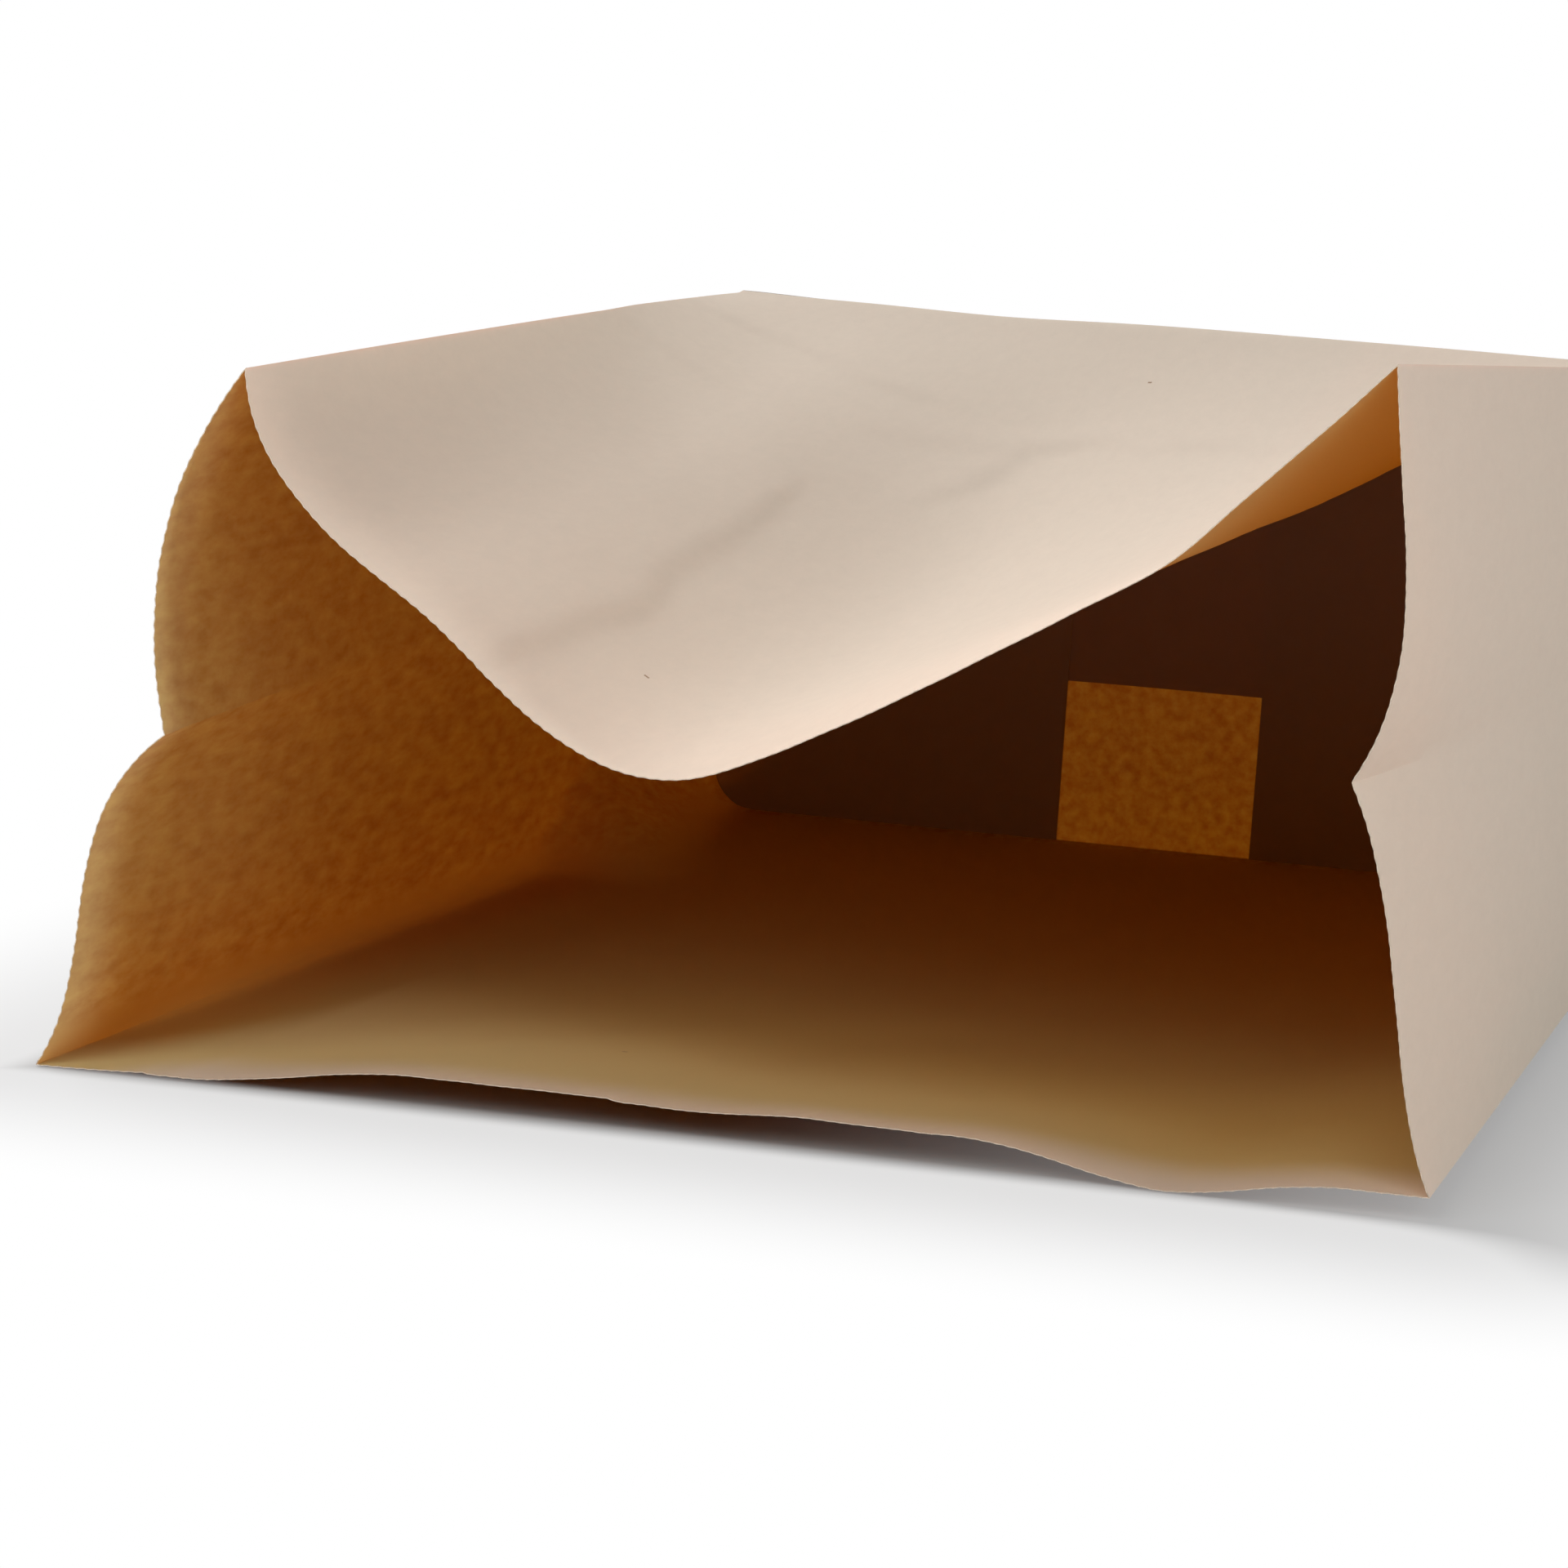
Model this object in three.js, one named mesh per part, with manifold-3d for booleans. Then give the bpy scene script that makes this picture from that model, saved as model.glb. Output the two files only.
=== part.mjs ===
// Block-bottom paper carrier bag, lying open on its back panel.
// Millimetres, +Z up. X runs across the panels, and Y runs from the mouth (-Y) to the bottom (+Y).
// One sheet is glued into a tube with two side gussets, and its end is folded into a layered bottom.
import * as THREE from 'three';
import { mergeVertices } from 'three/addons/utils/BufferGeometryUtils.js';
import Module from 'manifold-3d';

const wasm = await Module();
wasm.setup();

// Sizes of the folded sheet
const panelWidth = 220; // front and back panels, from crease to crease
const gussetWidth = 120; // side gussets, from crease to crease
const bodyLength = 360; // from the bottom crease to the mouth
const paper = 0.15; // thickness of the sheet
const leftTuck = 85; // reach of the left gusset's end, which folds in over the bottom
const rightTuck = 90; // and of the right gusset's end
const flapReach = 83.5; // reach of the two panel ends that fold over the tucks
const creaseRun = 2; // straight stretch of wall beside the bottom crease

// How the corners of the mouth have moved in from a square-cut box
const leftCornerPull = 30;
const leftCornerDrop = 10;
const rightCornerPull = 17;
const footPull = 3.5; // lower right corner
const mouthSkew = 6; // left edge forward and right edge back by this much

// How the front panel sags into the mouth
const sagDepth = 67; // lowest line, below the panel's flat plane
const sagLine = 94; // lowest line, across the sheet from the left crease
const sagShift = 11; // lowest point at the mouth, left of the middle
const ridgeDrop = 29.5; // soft ridge on the right, below the panel's flat plane
const ridgeLine = 177; // soft ridge, across the sheet from the left crease
const ridgeInset = 47; // soft ridge at the mouth, in from the right side
const sagRise = 0.2; // share of the sag that is lost evenly on the way to the bottom
const sagEase = 2.8; // how late the rest of the sag is lost
const leftLimbSteep = 25; // how far the left limb falls before it turns
const leftLimbLean = 5; // and its lean over that fall
const trough = 14; // half width of the rounded lowest line

// How the gussets bow: each half has one bow near its start and one near its end, outwards
const leftCreaseTuck = 4;
const leftCreaseDrop = 2;
const rightCreaseTuck = 8.75;
const tuckFade = 2; // how fast the centre creases flatten out behind the mouth
const bows = {
  rightLower: [0, 5],
  rightUpper: [7, 5],
  leftUpper: [12, 8],
  leftLower: [13, -9],
};

// How the back panel's cut edge lifts off the floor: middle, half width and height of each wave
const waves = [
  { middle: -48, half: 36, height: 3.4 },
  { middle: 4, half: 62, height: 3.6 },
  { middle: 97, half: 20, height: 2 },
];
const waveDepth = 110; // the waves die out this far behind the mouth

// Facets
const ringCount = 24;
const backPoints = 24;
const gussetHalfPoints = 7;
const limbPoints = 12;
const ridgePoints = 4;

// Values that follow from the sizes
const half = panelWidth / 2;
const rearLayers = 3; // layers that lie behind the tucks: corner folds, inner flap, outer flap
const rear = bodyLength + rearLayers * paper;
const middleY = (rear - mouthSkew) / 2;

const at = (x, z) => new THREE.Vector2(x, z);

// A gusset half from a to b, bowed outwards by two amounts; outwards is the right of the way it runs
function bowed(a, b, [first, second], share) {
  const along = b.clone().sub(a);
  const out = at(along.y, -along.x).normalize();
  const handle = (where, bow) => a.clone().lerp(b, where).addScaledVector(out, bow * share);
  return new THREE.CubicBezierCurve(a, handle(1 / 3, first), handle(2 / 3, second), b);
}

// The back panel's lift off the floor at x, a given way behind the mouth
function lift(x, behind) {
  const fade = Math.max(0, 1 - behind / waveDepth) ** 2;
  const rise = ({ middle, half: reach, height }) => {
    const from = Math.min(1, Math.abs(x - middle) / reach);
    return (height * (1 + Math.cos(Math.PI * from))) / 2;
  };
  return fade * waves.reduce((sum, wave) => sum + rise(wave), 0);
}

// The tube's outer outline at a share t of the way from the mouth to the bottom,
// anticlockwise as seen through the mouth, starting at the lower left crease
function outline(t) {
  const open = 1 - t;
  const sag = 1 - sagRise * t - (1 - sagRise) * t ** sagEase;
  const lowLeft = at(-half, 0);
  const lowRight = at(half - footPull * open, 0);
  const topRight = at(half - rightCornerPull * open, gussetWidth);
  const topLeft = at(-half + leftCornerPull * open, gussetWidth - leftCornerDrop * open);
  const crease = (low, top, move) => low.clone().lerp(top, 0.5).addScaledVector(move, open ** tuckFade);
  const rightCrease = crease(lowRight, topRight, at(-rightCreaseTuck, 0));
  const leftCrease = crease(lowLeft, topLeft, at(leftCreaseTuck, -leftCreaseDrop));

  const blend = THREE.MathUtils.lerp;
  const lowest = at(blend(-half + sagLine, -sagShift, open), gussetWidth - sagDepth * sag);
  const ridge = at(blend(-half + ridgeLine, half - ridgeInset, open), gussetWidth - ridgeDrop * sag);
  const leftTurn = topLeft.clone().add(at(leftLimbLean * sag, -leftLimbSteep * sag));
  const troughLeft = lowest.clone().sub(at(trough, 0));
  const troughRight = lowest.clone().add(at(trough, 0));

  const back = new THREE.LineCurve(lowLeft, lowRight);
  const runs = [
    [back, backPoints],
    [bowed(lowRight, rightCrease, bows.rightLower, open), gussetHalfPoints],
    [bowed(rightCrease, topRight, bows.rightUpper, open), gussetHalfPoints],
    [new THREE.LineCurve(topRight, ridge), ridgePoints],
    [new THREE.QuadraticBezierCurve(ridge, troughRight, lowest), limbPoints],
    [new THREE.CubicBezierCurve(lowest, troughLeft, leftTurn, topLeft), limbPoints],
    [bowed(topLeft, leftCrease, bows.leftUpper, open), gussetHalfPoints],
    [bowed(leftCrease, lowLeft, bows.leftLower, open), gussetHalfPoints],
  ];
  const points = runs.flatMap(([curve, count]) => curve.getSpacedPoints(count).slice(0, -1));
  const behind = t * bodyLength;
  return points.map((p, i) => (i < backPoints ? at(p.x, p.y + lift(p.x, behind)) : p));
}

// The same outline moved in by the sheet's thickness, with mitred corners
function inset(points) {
  const normalAfter = points.map((p, i) => {
    const along = points[(i + 1) % points.length].clone().sub(p);
    return at(-along.y, along.x).normalize();
  });
  return points.map((p, i) => {
    const before = normalAfter.at(i - 1);
    const after = normalAfter[i];
    const mitre = before.clone().add(after).divideScalar(1 + before.dot(after));
    return p.clone().addScaledVector(mitre, paper);
  });
}

// Rings of the tube: outlines from the mouth to the bottom crease, then one straight stretch
function tubeRings() {
  const run = bodyLength - creaseRun;
  const place = (p, t) => new THREE.Vector3(p.x, t * run + (1 - t) * mouthSkew * (p.x / half), p.y);
  const rings = Array.from({ length: ringCount + 1 }, (_, i) => {
    const t = i / ringCount;
    const outer = outline(t);
    return [outer, inset(outer)].map((side) => side.map((p) => place(p, t)));
  });
  const last = rings.at(-1).map((side) => side.map((p) => new THREE.Vector3(p.x, bodyLength, p.z)));
  return [...rings, last];
}

// A closed body around the rings' walls, open through the tube
function tubeGeometry() {
  const rings = tubeRings();
  const around = rings[0][0].length;
  const position = rings.flatMap((ring) => ring.flat()).flatMap((p) => p.toArray());
  const outerAt = (ring, i) => ring * 2 * around + (i % around);
  const innerAt = (ring, i) => outerAt(ring, i) + around;
  const index = [];
  const quad = (a, b, c, d) => index.push(a, b, c, a, c, d);
  const end = rings.length - 1;
  for (let i = 0; i < around; i++) {
    quad(outerAt(0, i), outerAt(0, i + 1), innerAt(0, i + 1), innerAt(0, i));
    quad(innerAt(end, i), innerAt(end, i + 1), outerAt(end, i + 1), outerAt(end, i));
    for (let ring = 0; ring < end; ring++) {
      quad(outerAt(ring, i), outerAt(ring + 1, i), outerAt(ring + 1, i + 1), outerAt(ring, i + 1));
      quad(innerAt(ring, i + 1), innerAt(ring + 1, i + 1), innerAt(ring + 1, i), innerAt(ring, i));
    }
  }
  const geometry = new THREE.BufferGeometry();
  geometry.setAttribute('position', new THREE.Float32BufferAttribute(position, 3));
  geometry.setIndex(index);
  return geometry;
}

// A flat layer across the bottom, from its corners (x, z) and the y of its two faces
function layer(corners, front, back) {
  const shape = new THREE.Shape(corners.map(([x, z]) => at(x, z)));
  const geometry = new THREE.ExtrudeGeometry(shape, { depth: back - front, bevelEnabled: false });
  return geometry.rotateX(Math.PI / 2).translate(0, back, 0);
}

// The folded bottom, from the inside out: tucks, corner folds, front flap, back flap
function bottomLayers() {
  const top = gussetWidth;
  const depth = (count) => bodyLength + count * paper;
  const flapEnd = half - flapReach;
  // One gusset's end and the panel corners that fold in with it; side is 1 on the right and -1 on the left
  const tuckLayers = (side, reach) => {
    const tuckEnd = half - reach;
    const tuck = [[tuckEnd, 0], [half, 0], [half, top], [tuckEnd, top]];
    const lowerFold = [[half, 0], [tuckEnd, reach], [tuckEnd, 0]];
    const upperFold = [[half, top], [tuckEnd, top], [tuckEnd, top - reach]];
    const sided = (corners) => (side > 0 ? corners : corners.map(([x, z]) => [-x, z]).reverse());
    return [
      layer(sided(tuck), depth(-1), depth(0)),
      layer(sided(lowerFold), depth(0), depth(2)),
      layer(sided(upperFold), depth(0), depth(1)),
    ];
  };
  const backFlap = [[-half, 0], [half, 0], [flapEnd, flapReach], [-flapEnd, flapReach]];
  const frontFlap = [[-half, top], [-flapEnd, top - flapReach], [flapEnd, top - flapReach], [half, top]];
  const backHinge = [[-half, 0], [half, 0], [half, paper], [-half, paper]];
  const frontHinge = [[-half, top - paper], [half, top - paper], [half, top], [-half, top]];
  const inside = bodyLength - creaseRun / 2;
  return [
    ...tuckLayers(1, rightTuck),
    ...tuckLayers(-1, leftTuck),
    layer(frontFlap, depth(1), depth(2)),
    layer(backFlap, depth(2), depth(3)),
    layer(frontHinge, inside, depth(2)),
    layer(backHinge, inside, depth(3)),
  ];
}

function toSolid(geometry) {
  geometry.deleteAttribute('normal');
  geometry.deleteAttribute('uv');
  const merged = mergeVertices(geometry);
  const vertProperties = merged.getAttribute('position').array;
  const triVerts = Uint32Array.from(merged.getIndex().array);
  return new wasm.Manifold(new wasm.Mesh({ numProp: 3, vertProperties, triVerts }));
}

function toGeometry(solid) {
  const { vertProperties, triVerts } = solid.getMesh();
  const geometry = new THREE.BufferGeometry();
  geometry.setAttribute('position', new THREE.BufferAttribute(vertProperties, 3));
  geometry.setIndex(new THREE.BufferAttribute(triVerts, 1));
  geometry.computeVertexNormals();
  return geometry;
}

const kraft = new THREE.MeshStandardMaterial({ color: '#d6c5b2', roughness: 0.9, metalness: 0 });
const solid = bottomLayers().reduce((sum, part) => sum.add(toSolid(part)), toSolid(tubeGeometry()));
const bag = new THREE.Mesh(toGeometry(solid), kraft);
bag.name = 'paper_bag';
bag.position.y = -middleY;

const group = new THREE.Group();
group.add(bag);

export default group;
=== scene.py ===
# %% [markdown]
# # A paper carrier bag that lies open
#
# The bag is one sheet of pale kraft paper. A machine glues it into a tube with two side gussets, cuts the
# mouth with a toothed knife and folds the other end into a flat, layered bottom. Here it lies on its back
# panel with its mouth towards us, and the front panel has sagged into the opening.
#
# The lesson takes the same road as the paper: a flat sheet, a toothed cut, the fold into a tube, small
# creases, the thickness of the paper, and the layers of the bottom.

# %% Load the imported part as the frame
import math

import bpy
import numpy as np
from mathutils import Matrix, Vector


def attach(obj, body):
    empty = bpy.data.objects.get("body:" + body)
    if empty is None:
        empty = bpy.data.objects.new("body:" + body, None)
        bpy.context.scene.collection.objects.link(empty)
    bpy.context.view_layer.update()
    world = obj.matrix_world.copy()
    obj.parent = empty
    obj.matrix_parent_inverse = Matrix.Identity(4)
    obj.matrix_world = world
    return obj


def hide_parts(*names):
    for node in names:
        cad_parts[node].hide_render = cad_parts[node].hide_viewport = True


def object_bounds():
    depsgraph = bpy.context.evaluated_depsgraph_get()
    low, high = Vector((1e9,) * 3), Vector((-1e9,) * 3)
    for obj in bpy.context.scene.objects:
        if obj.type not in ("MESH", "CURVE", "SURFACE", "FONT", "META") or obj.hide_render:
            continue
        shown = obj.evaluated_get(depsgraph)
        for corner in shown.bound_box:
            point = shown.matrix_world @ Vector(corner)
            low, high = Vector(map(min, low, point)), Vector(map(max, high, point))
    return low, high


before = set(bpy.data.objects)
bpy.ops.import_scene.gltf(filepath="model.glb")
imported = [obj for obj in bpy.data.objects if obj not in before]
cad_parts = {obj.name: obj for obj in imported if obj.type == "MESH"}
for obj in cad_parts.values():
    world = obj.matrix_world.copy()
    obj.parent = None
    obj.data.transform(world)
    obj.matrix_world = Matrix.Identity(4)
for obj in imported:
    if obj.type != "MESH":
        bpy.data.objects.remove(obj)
cad_low, cad_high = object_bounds()
MM = 0.001
print("CAD box in mm:", [round(side / MM, 1) for side in cad_high - cad_low])

# %% [markdown]
# ## The camera
#
# A box-like thing tells where it was seen from: its corners, creases and the joint in its bottom fix one
# camera. This one is a long lens a short way in front of the mouth, a little to the right, and rolled by a
# few degrees. A track rotation aims a camera upright, and the roll is then a turn about its own axis.

# %% Place the camera
LENS, SENSOR = 99.05, 36.0  # millimetres
EYE = Vector((0.1784, -0.7915, 0.1373))
SIGHT = Vector((-0.26578, 0.95552, -0.12785))
ROLL = math.radians(3.594)

upright = SIGHT.to_track_quat("-Z", "Y").to_matrix()
turn = (upright @ Matrix.Rotation(ROLL, 3, "Z")).to_euler()
bpy.ops.object.select_all(action="DESELECT")
bpy.ops.object.camera_add(location=EYE, rotation=turn)
camera = bpy.context.object
camera.name = "camera"
camera.data.lens = LENS
camera.data.sensor_width = SENSOR
bpy.context.scene.camera = camera
print("camera aims down by", round(math.degrees(math.asin(-SIGHT.normalized().z)), 1), "degrees")

# %% [markdown]
# ## Shader maths as plain sums
#
# Every finish below is a small sum of patterns. Wired by hand, each plus and times is a Math node. A class
# that wraps one output socket lets Python write the sum, and one method adds any other node.

# %% A socket that can be added and multiplied
class Socket:
    """One output of a node in a tree. Sums of sockets add Math nodes to the tree."""

    def __init__(self, tree, output=None):
        self.tree = tree
        self.output = output

    def node(self, kind, settings=(), inputs=(), output=0):
        made = self.tree.nodes.new(kind)
        for name, value in dict(settings).items():
            setattr(made, name, value)
        for name, value in dict(inputs).items():
            if isinstance(value, Socket):
                self.tree.links.new(value.output, made.inputs[name])
            else:
                made.inputs[name].default_value = value
        return Socket(self.tree, made.outputs[output] if len(made.outputs) else None)

    def maths(self, operation, first, second):
        return self.node("ShaderNodeMath", {"operation": operation}, {0: first, 1: second})

    def __add__(self, other):
        return self.maths("ADD", self, other)

    def __radd__(self, other):
        return self.maths("ADD", other, self)

    def __sub__(self, other):
        return self.maths("SUBTRACT", self, other)

    def __rsub__(self, other):
        return self.maths("SUBTRACT", other, self)

    def __mul__(self, other):
        return self.maths("MULTIPLY", self, other)

    def __rmul__(self, other):
        return self.maths("MULTIPLY", other, self)

print("shader maths ready")

# %% Helpers for node trees
def bare_tree(owner):
    """An empty node tree of a material or world."""
    owner.use_nodes = True
    owner.node_tree.nodes.clear()
    return Socket(owner.node_tree)


def vector_maths(tree, operation, first, second=(0, 0, 0), output=0):
    return tree.node("ShaderNodeVectorMath", {"operation": operation}, {0: first, 1: second}, output)


def largest(tree, first, *others):
    for other in others:
        first = tree.maths("MAXIMUM", first, other)
    return first


def smooth_ramp(tree, value, low, high):
    """A share that goes smoothly from 0 at the low value to 1 at the high one."""
    return tree.node("ShaderNodeMapRange", {"interpolation_type": "SMOOTHSTEP"},
                     {"Value": value, "From Min": low, "From Max": high})


def seen_directly(tree):
    """1 for rays that show a thing itself, also in gloss and glass, and 0 for light, also through paper."""
    kinds = ("Camera", "Glossy", "Transmission", "Diffuse")
    rays = [tree.node("ShaderNodeLightPath", output=f"Is {kind} Ray") for kind in kinds]
    straight, glossy, passing, scattered = rays
    return largest(tree, straight, glossy, passing * (1 - scattered))


print("helpers for node trees ready")

# %% [markdown]
# ## The room
#
# The light is a plain soft studio in a room that is nearly dark. Three soft boxes in front shine into the
# mouth, the strongest from the upper left. Four far lamps light the bag from behind and from low on the
# right, one a trace warmer and one a trace cooler than the rest. The two from the left rear also shine
# through the left side of the bag. One way to find such lamps is to render each of them alone and to look for
# the mix that fits, because light only adds up.
#
# The background is white only for the rays that look at it, so no extra light falls on the bag. The floor is
# grey under the bag, where it takes the shadow, and for the same rays it is a darker grey there: a painted
# shadow. For the same rays it turns white past the bag's edges.

# %% Dim the room
ROOM_LIGHT = 0.02

scene = bpy.context.scene
scene.view_settings.view_transform = "Standard"  # colours show as they are written
world = bpy.data.worlds.new("room")
scene.world = world
tree = bare_tree(world)
strength = ROOM_LIGHT + (1 - ROOM_LIGHT) * seen_directly(tree)
glow = tree.node("ShaderNodeBackground", {}, {"Color": (1, 1, 1, 1), "Strength": strength})
tree.node("ShaderNodeOutputWorld", {}, {"Surface": glow})
print("room light:", ROOM_LIGHT)

# %% Place the soft boxes
BOX_SIZE = 0.55
BOX_DISTANCE = 1.0
MOUTH = Vector((0, -0.177, 0.06))


def add_box(name, towards, light):
    """A soft box that shines the given way at the mouth. A white wall there gets the given share of white."""
    bpy.ops.object.select_all(action="DESELECT")
    aim = Vector(towards).normalized()
    turn = aim.to_track_quat("-Z", "Y").to_euler()
    bpy.ops.object.light_add(type="AREA", location=MOUTH - aim * BOX_DISTANCE, rotation=turn)
    box = bpy.context.object
    box.name = name
    box.data.shape = "SQUARE"
    box.data.size = BOX_SIZE
    box.data.energy = light * (math.pi * BOX_DISTANCE) ** 2
    return box


BOXES = [
    add_box("front_box", (0, 0.84, -0.54), 0.21),
    add_box("left_box", (0.36, 0.73, -0.58), 0.41),
    add_box("right_box", (-0.5, 0.73, -0.47), 0.24),
]
print("soft boxes:", [box.name for box in BOXES])

# %% Place the far lamps
WARM, COOL = (1.0, 0.95, 0.94), (0.95, 1.0, 1.0)


def add_lamp(name, towards, light, spread, tint=(1, 1, 1)):
    """A far lamp, wide by a spread in degrees. A white wall facing it gets the given share of white."""
    bpy.ops.object.select_all(action="DESELECT")
    aim = Vector(towards).normalized()
    turn = aim.to_track_quat("-Z", "Y").to_euler()
    bpy.ops.object.light_add(type="SUN", location=-aim, rotation=turn)
    lamp = bpy.context.object
    lamp.name = name
    lamp.data.energy = light * math.pi
    lamp.data.angle = math.radians(spread)
    lamp.data.color = tint
    return lamp


LAMPS = [
    add_lamp("left_rear_lamp", (0.7, -0.5, -0.5), 0.39, 45),
    add_lamp("high_rear_lamp", (0.45, -0.35, -0.82), 0.48, 45, WARM),
    add_lamp("right_rear_lamp", (-0.6, -0.65, -0.47), 0.17, 45),
    add_lamp("low_right_lamp", (-0.99, 0, -0.09), 0.31, 14, COOL),
]
print("far lamps:", [lamp.name for lamp in LAMPS])

# %% Lay the floor
FLOOR_SIZE = 8.0
FLOOR_GAP = 0.0003  # it lies a little low, so that it never shares a plane with the paper

bpy.ops.object.select_all(action="DESELECT")
bpy.ops.mesh.primitive_plane_add(size=FLOOR_SIZE, location=(0, 0, -FLOOR_GAP))
floor = bpy.context.object
floor.name = "floor"
print("floor laid,", FLOOR_SIZE, "m wide")

# %% Measure the floor from the bag
MOUTH_SKEW, MOUTH_PLACE = 0.042, 0.1777  # the cut runs a little aslant
RIGHT_PACE = 0.05  # the floor turns white more slowly on the right, so its painted shadow reaches further there,
CORNER_PACE = 0.15  # and past the mouth's right corner
RIGHT_CORNER = (0.09, 0.13)


def behind_cut(x, y):
    """Metres from the cut of the mouth into the bag."""
    return y - MOUTH_SKEW * x + MOUTH_PLACE


floor_finish = bpy.data.materials.new("floor_white")
tree = bare_tree(floor_finish)
place = tree.node("ShaderNodeTexCoord", output="Object")
x, y = (tree.node("ShaderNodeSeparateXYZ", {}, {0: place}, axis) for axis in "XY")
past_corner = smooth_ramp(tree, x, *RIGHT_CORNER)
before_mouth = -1 * behind_cut(x, y) * (1 - (1 - CORNER_PACE) * past_corner)
past_right = RIGHT_PACE * (x - cad_high.x)
past_edge = largest(tree, before_mouth, y - cad_high.y, -1 * x - cad_high.x, past_right)
apart = vector_maths(tree, "SUBTRACT", vector_maths(tree, "ABSOLUTE", place), (*cad_high.xy, 0))
past_box = vector_maths(tree, "LENGTH", vector_maths(tree, "MAXIMUM", apart), output="Value")
print("floor measured from a box of", [round(side / MM) for side in (cad_high - cad_low).xy], "mm")

# %% Give the floor its finish
FLOOR_LIGHT, FLOOR_PAINTED_SHADOW = 0.5, 0.3  # how white it is for the light, and the darker grey of a painted shadow under the bag, as it is seen
FLOOR_EDGE = 0.006  # metres on both sides of the bag's outline, over which most of the floor turns white
FLOOR_FADE = 0.07  # metres from the bag's box, over which the rest turns white
NEAR_WHITE = 0.7

# for the rays that see it, the floor under the bag is a darker grey than for light: a painted shadow
grey = FLOOR_LIGHT + (FLOOR_PAINTED_SHADOW - FLOOR_LIGHT) * seen_directly(tree)
surface = tree.node("ShaderNodeBsdfPrincipled", {}, {
    "Base Color": grey, "Roughness": 0.9, "Specular IOR Level": 0.0})
blank = tree.node("ShaderNodeEmission", {}, {"Color": (1, 1, 1, 1), "Strength": 1.0})
near = smooth_ramp(tree, past_edge, -FLOOR_EDGE, FLOOR_EDGE)
far = smooth_ramp(tree, past_box, 0.0, FLOOR_FADE)
fading = NEAR_WHITE * near + (1 - NEAR_WHITE) * far
faded = tree.node("ShaderNodeMixShader", {}, {0: fading * seen_directly(tree), 1: surface, 2: blank})
tree.node("ShaderNodeOutputMaterial", {}, {"Surface": faded})
floor.data.materials.append(floor_finish)
print("finish:", floor_finish.name)

# %% [markdown]
# ## The paper
#
# Kraft paper is pale where light falls on it and deep orange where light comes through it, which is why the
# inside of the bag glows on the lit side and is dark where layers lie on each other. A Mix Shader of a matte
# surface and a Translucent one does this. The sheet below has two faces, so light passes two shaders: the
# outer one tints it and the inner one lets much of it by, and both keep the paper's own colour. Faces with
# glue on them let hardly any by.
#
# Fibres lie in clouds, which show against the light, so the clouds drive the mix where light comes through.
# On the inner face the colour runs from cream at the cut to tan and then rust: painted light near the cut and
# painted shade further in, with a redder painted shadow beside the lower left crease. The small creases have
# a little painted shade along them, and fine grain, a slight tooth and two dark specks do the rest. An image
# could hold all this, but solid noise on Object coordinates has no seams.

# %% Colours that mix
def colour_between(tree, share, first, second):
    """A colour that is a share of the way between two, which are constants or other mixes."""
    ends = [end if isinstance(end, Socket) else (*end, 1) for end in (first, second)]
    return tree.node("ShaderNodeMix", {"data_type": "RGBA"}, {0: share, 6: ends[0], 7: ends[1]}, 2)


def mottled(tree, share, colour, contrast):
    """A colour that is darker or paler by a contrast, as the share goes from 0 to 1."""
    darker, paler = ([c * (1 + change) for c in colour] for change in (-contrast, contrast))
    return colour_between(tree, share, darker, paler)


print("colour helpers ready")

# %% Painted light and shade by depth
PALE_CUT = 0.026  # metres from the cut, over which the inside is painted palest, as light
PALE_MOUTH = 0.09  # and over which it turns from tan to the rust of painted shade
PALE_SLANT = 0.45  # the painted light reaches further in on the left,
CREASE_FROM, CREASE_BAND = -0.085, 0.02  # but not in a redder band of painted shadow by the lower left crease,
CREASE_TURN, CREASE_SHIFT, CREASE_CUT = 100.0, 2.0, 1.5
WALL_TURN, WALL_SHIFT, WALL_CAP = 600.0, 13.0, 0.04  # nor on the left wall, and it does on the right one
WALL_LEAN = 0.5  # the band of painted shadow ends a little way up the wall


def painted_light_and_shade(tree, x, y, z, cut, mouth, deep, crease_shadow):
    """Painted light at the cut, the paper's colour at the mouth, painted shade far in and by the lower left
    crease.
    """
    from_cut = behind_cut(x, y)
    beside_crease = largest(tree, CREASE_FROM - x, 0.0)
    under_wall = largest(tree, beside_crease - WALL_LEAN * z, 0.0)
    wall = x * tree.maths("MINIMUM", z, WALL_CAP)
    turn = 1 + CREASE_TURN * beside_crease - WALL_TURN * wall
    within = from_cut * turn + PALE_SLANT * x - WALL_SHIFT * wall + CREASE_SHIFT * under_wall
    deep = colour_between(tree, smooth_ramp(tree, under_wall, 0.0, CREASE_BAND), deep, crease_shadow)
    colour = colour_between(tree, smooth_ramp(tree, within, 0.0, PALE_MOUTH), mouth, deep)
    near_cut = from_cut + z + CREASE_CUT * under_wall
    return colour_between(tree, smooth_ramp(tree, near_cut, 0.0, PALE_CUT), cut, colour)


print("tint runs over", round(PALE_MOUTH / MM), "mm")

# %% Specks and broken fibres
SPECKS = ((-30.3, -128.1), (-5.5, 149.5))  # millimetres, on the front panel and on the back panel under it
SPECK_SIZE = 0.42
SPECK_SHARE = 0.85
SPECK_BROWN = (0.3, 0.18, 0.1)
# a brown for painted shade: along the small creases, and on the inner faces of the bottom
SHADE_BROWN = (0.32, 0.26, 0.24)
CREASE_SHADE_SHARE = 0.1


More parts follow.
